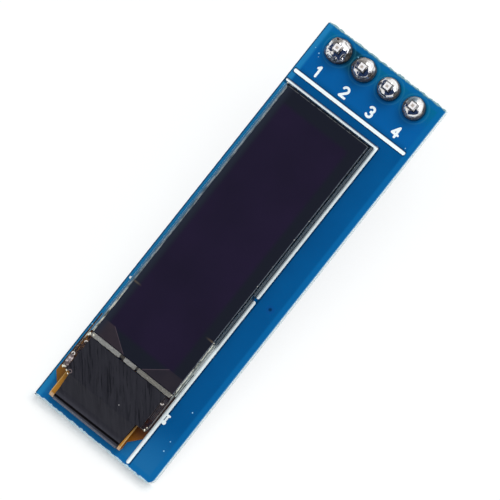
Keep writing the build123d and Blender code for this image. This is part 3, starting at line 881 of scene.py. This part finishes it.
def ragged_bead():
    """The sealant bead under the ledge: three lengths with ragged ends and an uneven outer edge."""
    # each break: its middle and its length
    breaks = [(panel_low.y + 3.35, 0.44), (panel_low.y + 4.85, 0.2)]
    starts = [bead_low.y] + [middle + gap / 2 for middle, gap in breaks]
    ends = [middle - gap / 2 for middle, gap in breaks] + [bead_high.y]
    top = bead_high.z - 0.006
    skins = []
    for start, end in zip(starts, ends):
        stations = max(4, int((end - start) / 0.08))
        rings = []
        for k in range(stations + 1):
            y = start + (end - start) * k / stations
            taper = min(1.0, 0.93 + 0.14 * min(k, stations - k) / 2)
            slow, quick = noise.noise(Vector((0, y * 2.1, 3.0))), noise.noise(Vector((0, y * 7, 8)))
            width = 0.36 * (1 + 0.09 * slow + 0.05 * quick)
            ring = []
            for j in range(9):
                angle = math.pi / 2 * j / 8
                skew = 0.04 * noise.noise(Vector((j * 0.6, y * 5, 1.0)))
                ring.append((bead_low.x + width * taper * math.cos(angle), y + skew,
                             top - 0.25 * taper * math.sin(angle)))
            ring.append((bead_low.x, y, top))
            rings.append(ring)
        skins.append(lofted(rings))
    made = piece("ragged_bead", *joined(skins), finishes["edge_bead"], "sealant")
    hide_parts("edge_bead")


def glass_outline(step_length):
    """Points along the front sheet's outline."""
    x0, x1, y0, y1 = panel_low.x, panel_high.x, panel_low.y, panel_high.y
    return ring_walk([(x0, y0), (x1, y0), (x1, y1), (x0, y1)], step_length)


def by_ledge_corner(point, reach):
    """1 at the two corners of the front sheet's ledge, falling to 0 at the reach."""
    corners = Vector((panel_high.x, panel_low.y)), Vector((panel_high.x, panel_high.y))
    return max(0.0, 1 - min((point - corner).length for corner in corners) / reach)


def inward(point, inset):
    """Where a point of the front sheet's outline comes to lie when its sides move in."""
    return (min(max(point.x, panel_low.x + inset), panel_high.x - inset),
            min(max(point.y, panel_low.y + inset), panel_high.y - inset))


def scored_glass():
    """The front sheet of glass, scored and snapped: a fine chipped bevel, larger at the ledge's corners."""
    height = panel_high.z - panel_low.z
    levels = []
    for share, bevel in ((0.0, 0.03), (0.08, 0.0), (0.5, 0.0), (0.9, 0.0), (1.0, 0.035)):
        ring = []
        for point in glass_outline(0.1):
            seed = Vector((point.x * 2.3, point.y * 2.3, share))
            chip = max(0.0, noise.noise(seed) - 0.25) * 0.14 if share in (0.0, 1.0) else 0.0
            inset = bevel + chip + 0.09 * by_ledge_corner(point, 0.5) * (0.5 + share)
            ring.append((*inward(point, inset), panel_low.z + height * share))
        levels.append(ring)
    made = piece("scored_glass", *lofted(levels), finishes["substrate_glass"], "panel_glass")
    made.data.materials.append(glass_side())
    for face in made.data.polygons:
        if abs(face.normal.z) < 0.5:
            face.material_index = 1
    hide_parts("substrate_glass")


def cut_film():
    """The polarizing film as it was stuck on: cut unevenly, its far edge leaning out towards the ledge."""
    steps = 140
    near, far = [], []
    for k in range(steps + 1):
        x = film_head + (film_high.x - film_head) * k / steps
        near.append((x, film_near + 0.03 * noise.noise(Vector((x * 1.1, 1.0, 0)))))
        lean = film_far_lean * (x - film_low.x)
        far.append((x, film_far + lean + 0.012 * noise.noise(Vector((x * 1.7, 4.0, 0)))))
    levels = []
    for share, inset in ((0.0, 0.0), (0.85, 0.0), (1.0, 0.02)):
        ring = []
        for x, y in near + far[::-1]:
            side = 1 if y > 0 else -1
            ring.append((min(max(x, film_head + inset), film_high.x - inset), y - side * inset,
                         film_low.z + (film_high.z - film_low.z) * share))
        levels.append(ring)
    made = piece("cut_film", *lofted(levels), finishes["polarizer"], "polarizer_film")
    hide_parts("polarizer")


def rim_width(point, rough):
    """How broad the splintered rim is at a point: broad along the near side, else a thread."""
    edge = 0.01
    if point.y < panel_low.y + edge:
        width = 0.35 + 0.06 * rough if point.x < film_high.x else 0.1 + 0.1 * rough
    elif point.y > panel_high.y - edge:
        beyond = middle_line_x < point.x < film_high.x
        width = 0.07 + 0.1 * rough if beyond else 0.012 + 0.04 * rough
    else:
        width = 0.03 + 0.03 * rough
    return width


def splintered_rim():
    """Splintered glass along the front sheet's upper edges, wider at the ledge's corners."""
    levels = [[], [], []]
    top = panel_high.z
    outline = glass_outline(0.07)
    for point in outline:
        seed = Vector((point.x * 3.1, point.y * 3.1, 5.0))
        width = rim_width(point, max(0.0, noise.noise(seed) + 0.4 * noise.noise(seed * 3.3)))
        width += 0.12 * by_ledge_corner(point, 0.6) * (0.6 + noise.noise(seed * 2))
        if abs(point.x - middle_line_x) < 0.08:
            width += 0.1
        for level, (share, z) in enumerate(((-0.1, top - 0.07), (1.0, top + 0.004), (0.5, top - 0.05))):
            levels[level].append((*inward(point, width * share), z))
    faces = [face for pair in ((0, 1), (1, 2), (2, 0)) for face in band(*pair, len(outline))]
    piece("splintered_rim", sum(levels, []), faces, ground_rim(), "panel_glass")


def alignment_marks():
    """Thin rings on the ledge and one on the tape, each with a gap, painted bright as glints."""
    on_glass, on_tape = panel_high.z + 0.002, tape_top + 0.001
    half_width, thickness, steps = 0.035, 0.004, 20
    # each mark: middle, height, radius, start and sweep in degrees
    marks = [(30.45, -4.93, on_glass, 0.13, 110, 190), (30.46, 2.87, on_glass, 0.12, -60, 170),
             (31.75, -5.2, on_glass, 0.12, 60, 250), (33.02, -4.5, on_tape, 0.14, 20, 260)]
    skins = []
    for cx, cy, z, radius, start, sweep in marks:
        inner = arc(cx, cy, radius - half_width, start, start + sweep, steps)
        outer = arc(cx, cy, radius + half_width, start, start + sweep, steps)
        top = z + thickness
        skins.append(lofted([[(*i, z), (*o, z), (*o, top), (*i, top)] for i, o in zip(inner, outer)]))
    # painted near white as the rings' glints
    paint = Paint("mark_metal", (222, 214, 208), 0.45)
    paint.base(paint.grain(6.0, 3), (176, 166, 158), (250, 244, 238))
    paint.lay((paint.x, 32.7, 32.8), (112, 98, 98))
    piece("alignment_marks", *joined(skins), paint.material, "tinned_metal")


def ledge_tracks():
    """Fine metal tracks under the ledge, beside the tape on both sides."""
    low, high = panel_low.z - 0.004, panel_low.z - 0.001
    skins = []
    for first_y, count, start_x, end_x in ((-5.2, 4, 29.95, 32.0), (2.66, 5, 29.95, 32.05)):
        for k in range(count):
            y, lean = first_y + 0.1 * k, 0.02 * k
            corners = [(start_x, y), (end_x, y + lean), (end_x, y + lean + 0.05), (start_x, y + 0.08)]
            skins.append(lofted([[(*corner, z) for corner in corners] for z in (low, high)]))
    paint = Paint("track_metal", (120, 96, 70), 0.5)
    wear = paint.grain(2.6, 4)
    near = paint.mix((wear, 0.4, 0.6), (60, 46, 42), (168, 116, 58))
    far = paint.mix(wear, (58, 54, 58), (104, 94, 92))
    paint.base((paint.y, -1.0, 1.0), near, far)
    piece("ledge_tracks", *joined(skins), paint.material, "tinned_metal")


def bead_skin():
    """A thin smear of sealant that joins the bead's three lengths."""
    start, end, steps = bead_low.y + 0.1, bead_high.y - 0.1, 60
    top = bead_high.z - 0.012
    bottom = top - 0.02
    rings = []
    for k in range(steps + 1):
        y = start + (end - start) * k / steps
        inner = bead_low.x + 0.01
        outer = bead_low.x + 0.26 + 0.06 * noise.noise(Vector((2.0, y * 3.0, 0)))
        rings.append([(inner, y, bottom), (outer, y, bottom), (outer, y, top), (inner, y, top)])
    material = mottled("thin_sealant", (104, 98, 82), (86, 80, 66), (132, 124, 108), 4.0, 3, 0.7)
    piece("bead_skin", *lofted(rings), material, "sealant")


def resin_drops():
    """Clear resin on the ledge's near edge, and small splinters at the glass's corners, with painted glints.
    """
    top = panel_high.z
    skins = [blob((32.4, -5.14, top - 0.05), (0.64, 0.22, 0.14), 3, 1.0, 0.12)]
    # each splinter: its middle and its half length
    splinters = [(33.03, -5.25, 0.1), (33.1, -4.8, 0.09), (33.27, -4.56, 0.07), (29.71, -5.14, 0.12),
                 (29.62, -4.83, 0.1), (29.86, -5.2, 0.08), (32.96, 3.08, 0.09), (32.7, 3.12, 0.06),
                 (29.5, 3.05, 0.07), (29.25, 3.1, 0.06), (4.55, -5.2, 0.06), (middle_line_x, 3.1, 0.08)]
    for x, y, size in splinters:
        skins.append(blob((x, y, top - size * 0.2), (size, size * 0.7, size * 0.6), 50 * x, x, 0.5))
    paint = Paint("resin", (150, 142, 138), 0.15)
    paint.base((paint.grain(4.0, 4), 0.42, 0.62), (98, 86, 86), (208, 194, 192))
    # painted glints: the splinters and the resin's far end near white
    splinter_glints = paint.most((paint.x, 31.6, 31.5), (paint.x, 32.85, 32.95), (paint.y, 0, 1))
    paint.lay(splinter_glints, (236, 232, 214))
    paint.bump(paint.grain(3.0, 3), 0.03, 0.5)
    piece("resin_drops", *joined(skins), paint.material, "sealant", smooth=True)


def flux_ball():
    """A small brown ball of flux on the first joint."""
    ball = blob((-0.68, pin_places[0] - 0.54, board_top + 0.8), (0.11, 0.1, 0.1), 20, 4.0, 0.15)
    material = mottled("flux", (70, 44, 44), (44, 26, 30), (92, 66, 66), 5.0, 3, 0.12)
    piece("flux_ball", *ball, material, "solder", smooth=True)


worn_board()
ragged_bead()
scored_glass()
cut_film()
splintered_rim()
alignment_marks()
ledge_tracks()
bead_skin()
resin_drops()
flux_ball()


# Floor

def paper():
    """Pale paper, which the camera sees nearly white: a painted glow covers the board's shadow on it, except
    in the shadow beyond the board's far end.
    """
    paint = Paint("paper", (249, 251, 252), 0.9, Specular_IOR_Level=0.0)
    x, y = paint.x, paint.y
    # a painted glow for the camera over most of the paper washes out the board's shadow; it leaves out a
    # patch just beyond the board's far end
    before_end = paint.step(x, board_high.x, board_high.x - 0.01)
    past_end = paint.step(x, board_high.x, board_high.x + 1.3)
    past_side = paint.step(paint.math("ABSOLUTE", y), board_high.y, board_high.y + 1.0)
    white = paint.blend(paint.most(before_end, past_end, past_side), 0.0, 0.78)
    path = paint.node("ShaderNodeLightPath").outputs
    glow = paint.node("ShaderNodeEmission", {"Color": tone(254, 255, 255), "Strength": 1.02}).outputs[0]
    share = paint.both(white, path["Is Camera Ray"])
    lit = paint.node("ShaderNodeMixShader", {0: share, 1: paint.shader.outputs[0], 2: glow}).outputs[0]
    # seen from below, the paper lets the camera through
    behind = paint.node("ShaderNodeNewGeometry").outputs["Backfacing"]
    clear = paint.node("ShaderNodeBsdfTransparent").outputs[0]
    through = paint.both(behind, path["Is Camera Ray"])
    cut = paint.node("ShaderNodeMixShader", {0: through, 1: lit, 2: clear}).outputs[0]
    paint.feed(paint.output.inputs[0], cut)
    return paint.material


def floor_plane():
    """Paper that touches the pin ends and the board's far lower edge."""
    touch_x, reach, drop = 0.15, 260, 0.01
    slope = (board_low.z - pin_foot) / (board_high.x - touch_x)
    mesh = bpy.data.meshes.new("paper_floor")
    verts = []
    for x in (touch_x - reach, touch_x + reach):
        for y in (-reach, reach):
            verts.append(Vector((x, y, pin_foot - drop + (x - touch_x) * slope)) * MM)
    mesh.from_pydata(verts, [], [(0, 2, 3, 1)])
    made = add_object("paper_floor", mesh)
    mesh.materials.append(paper())


floor_plane()


# Light

camera_right = Vector((-0.62091, 0.77209, -0.13544))
camera_up = Vector((-0.78351, -0.60597, 0.13753))
camera_back = Vector((0.02411, 0.19151, 0.98119))
object_middle = Vector((17, 0, 3))
daylight = (0.985, 0.995, 1.0)


def softbox(name, towards, distance, width, height, watts):
    """A softbox: its middle lies along a direction from the object's middle, and it faces the object."""
    data = bpy.data.lights.new(name, "AREA")
    data.shape = "RECTANGLE"
    data.size, data.size_y = width * MM, height * MM
    data.energy = watts
    data.color = daylight
    made = add_object(name, data)
    away = towards.normalized()
    made.location = (object_middle * MM) + away * distance * MM
    made.rotation_mode = "QUATERNION"
    made.rotation_quaternion = away.to_track_quat("Z", "Y")


softbox("softbox_head", Vector((-0.76, 0.12, 0.64)), 430, 300, 220, 0.93)
softbox("softbox_right", camera_right * 0.86 + camera_back * 0.5, 420, 260, 180, 0.24)


def studio_world():
    """Soft light, strongest from above. Metal and glass see bright windows and a dark ceiling instead."""
    world = bpy.data.worlds.new("studio")
    scene.world = world
    world.use_nodes = True
    sky = Nodes(world.node_tree)
    way = sky.node("ShaderNodeTexCoord").outputs["Generated"]
    path = sky.node("ShaderNodeLightPath").outputs

    def towards(direction):
        inputs = {0: way, 1: direction.normalized()}
        return sky.node("ShaderNodeVectorMath", inputs, operation="DOT_PRODUCT").outputs["Value"]

    def backdrop(colour, strength):
        return sky.node("ShaderNodeBackground", {"Color": colour, "Strength": strength}).outputs[0]

    def either(share, first, second):
        return sky.node("ShaderNodeMixShader", {0: share, 1: first, 2: second}).outputs[0]

    rise = towards(Vector((0, 0, 1)))
    soft = backdrop((0.98, 0.99, 1.0, 1), sky.blend(rise, 0.22, 1.0))
    # what metal and glass see: a window with a bar, a small window and the horizon, under a dark ceiling
    side = (towards(camera_right * 0.87 + camera_up * 0.5), 0.3, 0.55)
    window = sky.both(side, sky.scaled((rise, 0.64, 0.5), 1.2))
    bar = sky.blend((sky.math("ABSOLUTE", towards(camera_up)), 0.05, 0.12), 0.2, 1.0)
    small_window = sky.scaled((towards(Vector((0.75, -0.55, 0.34))), 0.9, 0.95), 1.1)
    glow = sky.most(sky.both(window, bar), small_window, sky.scaled((rise, 0.3, 0.02), 0.9))
    ceiling, white = (0.02, 0.04, 0.11, 1), (1, 1, 1, 1)
    seen = backdrop(sky.mix(glow, ceiling, white), sky.most(glow, 1.0))
    lit = either(path["Is Glossy Ray"], soft, seen)
    outer = either(path["Is Camera Ray"], lit, backdrop(tone(254, 254, 255), 1.0))
    sky.feed(world.node_tree.nodes["World Output"].inputs[0], outer)


studio_world()
scene.view_settings.view_transform = "Standard"


# Camera at the photo's viewing angle

def photo_camera():
    """A long lens far above the object, so that its edges stay nearly parallel."""
    data = bpy.data.cameras.new("photo_camera")
    data.sensor_width = 36
    data.lens = 273.87
    data.clip_start = 0.01
    data.clip_end = 5
    made = add_object("photo_camera", data)
    turn = Matrix((camera_right, camera_up, camera_back)).transposed().to_4x4()
    made.matrix_world = Matrix.Translation(Vector((23.97, 57.941, 297.778)) * MM) @ turn
    scene.camera = made


photo_camera()
